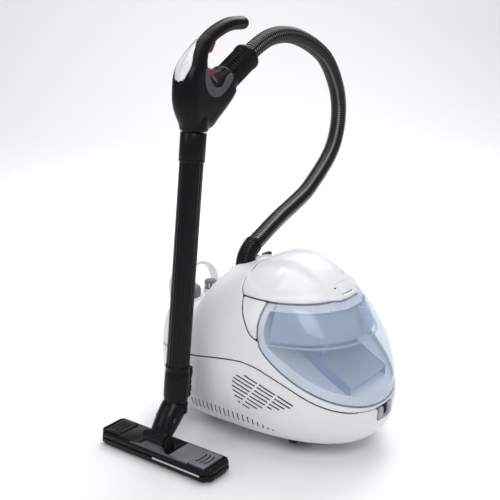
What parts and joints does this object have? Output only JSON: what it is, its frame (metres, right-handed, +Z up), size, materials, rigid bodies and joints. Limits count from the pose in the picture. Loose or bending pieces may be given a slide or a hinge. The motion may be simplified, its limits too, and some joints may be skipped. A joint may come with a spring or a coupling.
{
  "type": "wet dry floor cleaner",
  "caption": "Canister steam and vacuum floor cleaner with a clear water-filter tank under a hinged hood, a flexible hose, a wand with a looped grip and a wide floor head.",
  "frame": {"origin": "on the floor, at the middle of the footprint of canister, wand and floor head together", "axes": "+Z up; -Y is the front of the canister; the wand and floor head stand on the -X side"},
  "size_m": [0.619, 0.4792, 0.7768],
  "materials": {
    "white": "glossy moulded",
    "black": "fine grain",
    "black_gloss": "satin",
    "grey": "fine grain",
    "red": "satin",
    "clear": "transparent",
    "blue": "transparent tinted",
    "steel": "brushed",
    "alu": "cast",
    "tyre": "matt",
    "board": "solder mask",
    "paper": "pleated",
    "bristle": "tufted"
  },
  "bodies": {
    "canister": {"lower_shell": "white", "upper_shell": "white", "cheek_left": "white", "cheek_right": "white", "chassis": "black", "boiler": "alu", "suction_motor": "grey", "fan_housing": "black", "inlet_duct": "black", "water_pump": "alu", "control_board": "board", "outlet_filter": "paper", "lead_gland": "black", "socket_ring": "black", "hose_elbow": "black", "hose": "black_gloss", "hose_cuff": "black", "handle_body": "black", "handle_insert": "white", "saddle_panel_left": "grey", "saddle_panel_right": "grey", "extension_tube": "black", "lower_connector": "black", "steam_latch": "black", "neck": "black", "carry_handle": "white"},
    "hood": {"hood_lid": "white"},
    "hood_catch": {"hood_tab": "grey"},
    "tank": {"water_tank": "clear", "filter_basket": "clear", "filter_rim": "grey", "baffle": "blue"},
    "float_ball": {"float": "red"},
    "front_latch": {"tank_latch": "grey"},
    "filler_cap": {"boiler_cap": "grey"},
    "steam_dial": {"steam_knob": "grey"},
    "rocker": {"deck_rocker": "black_gloss"},
    "suction_trigger": {"trigger": "red"},
    "steam_button": {"grip_button": "red"},
    "tube_catch": {"tube_latch": "black"},
    "floor_head": {"head_body": "black", "head_sole": "black", "bristle_front": "bristle", "bristle_rear": "bristle", "head_trim": "steel", "top_plate_left": "black", "top_plate_right": "grey"},
    "clamp_left": {"slider_left": "black"},
    "clamp_right": {"slider_right": "grey"},
    "fork_front_left": {"castor_fork_front_left": "black"},
    "wheel_front_left": {"castor_wheel_front_left": "tyre"},
    "fork_front_right": {"castor_fork_front_right": "black"},
    "wheel_front_right": {"castor_wheel_front_right": "tyre"},
    "fork_rear_left": {"castor_fork_rear_left": "black"},
    "wheel_rear_left": {"castor_wheel_rear_left": "tyre"},
    "fork_rear_right": {"castor_fork_rear_right": "black"},
    "wheel_rear_right": {"castor_wheel_rear_right": "tyre"}
  },
  "joints": [
    {"name": "hood_hinge", "type": "hinge", "parent": "canister", "child": "hood", "pos_m": [0.0615, 0.0226, 0.354], "axis": [-1, 0, 0], "range_deg": [0, 70]},
    {"name": "hood_catch_press", "type": "slide", "parent": "hood", "child": "hood_catch", "axis": [0, 0, -1], "range_m": [0, 0.002], "stiffness_N_per_m": 600},
    {"name": "tank_slide", "type": "slide", "parent": "canister", "child": "tank", "axis": [0, -1, 0], "range_m": [0, 0.12]},
    {"name": "float_lift", "type": "slide", "parent": "tank", "child": "float_ball", "axis": [0, 0, 1], "range_m": [0, 0.003]},
    {"name": "front_latch_hinge", "type": "hinge", "parent": "canister", "child": "front_latch", "pos_m": [0.0615, -0.2277, 0.084], "axis": [1, 0, 0], "range_deg": [0, 35]},
    {"name": "filler_cap_turn", "type": "hinge", "parent": "canister", "child": "filler_cap", "pos_m": [-0.0045, 0.1676, 0.25], "axis": [0, 0, 1], "range_deg": [0, 180]},
    {"name": "steam_dial_turn", "type": "hinge", "parent": "canister", "child": "steam_dial", "pos_m": [0.0515, 0.1576, 0.25], "axis": [0, 0, 1], "range_deg": [0, 270]},
    {"name": "rocker_tilt", "type": "hinge", "parent": "canister", "child": "rocker", "pos_m": [0.1035, 0.1706, 0.238], "axis": [1, 0, 0], "range_deg": [-7, 7]},
    {"name": "trigger_pull", "type": "slide", "parent": "canister", "child": "suction_trigger", "axis": [0, 0, -1], "range_m": [0, 0.0035], "stiffness_N_per_m": 700},
    {"name": "steam_button_press", "type": "slide", "parent": "canister", "child": "steam_button", "axis": [0, 0, 1], "range_m": [0, 0.0035], "stiffness_N_per_m": 700},
    {"name": "tube_catch_press", "type": "slide", "parent": "canister", "child": "tube_catch", "axis": [-0.9914, 0, 0.1305], "range_m": [0, 0.0018], "stiffness_N_per_m": 800},
    {"name": "head_tilt", "type": "hinge", "parent": "canister", "child": "floor_head", "pos_m": [-0.1985, 0.0806, 0.045], "axis": [0, 1, 0], "range_deg": [-28, 12]},
    {"name": "clamp_left_slide", "type": "slide", "parent": "floor_head", "child": "clamp_left", "axis": [0, 1, 0], "range_m": [0, 0.006]},
    {"name": "clamp_right_slide", "type": "slide", "parent": "floor_head", "child": "clamp_right", "axis": [0, -1, 0], "range_m": [0, 0.006]},
    {"name": "swivel_front_left", "type": "hinge", "parent": "canister", "child": "fork_front_left", "pos_m": [0.0055, -0.0864, 0.035], "axis": [0, 0, 1], "continuous": true},
    {"name": "roll_front_left", "type": "hinge", "parent": "fork_front_left", "child": "wheel_front_left", "pos_m": [0.0055, -0.0774, 0.013], "axis": [1, 0, 0], "continuous": true},
    {"name": "swivel_front_right", "type": "hinge", "parent": "canister", "child": "fork_front_right", "pos_m": [0.1175, -0.0864, 0.035], "axis": [0, 0, 1], "continuous": true},
    {"name": "roll_front_right", "type": "hinge", "parent": "fork_front_right", "child": "wheel_front_right", "pos_m": [0.1175, -0.0774, 0.013], "axis": [1, 0, 0], "continuous": true},
    {"name": "swivel_rear_left", "type": "hinge", "parent": "canister", "child": "fork_rear_left", "pos_m": [0.0055, 0.0976, 0.035], "axis": [0, 0, 1], "continuous": true},
    {"name": "roll_rear_left", "type": "hinge", "parent": "fork_rear_left", "child": "wheel_rear_left", "pos_m": [0.0055, 0.1066, 0.013], "axis": [1, 0, 0], "continuous": true},
    {"name": "swivel_rear_right", "type": "hinge", "parent": "canister", "child": "fork_rear_right", "pos_m": [0.1175, 0.0976, 0.035], "axis": [0, 0, 1], "continuous": true},
    {"name": "roll_rear_right", "type": "hinge", "parent": "fork_rear_right", "child": "wheel_rear_right", "pos_m": [0.1175, 0.1066, 0.013], "axis": [1, 0, 0], "continuous": true}
  ]
}
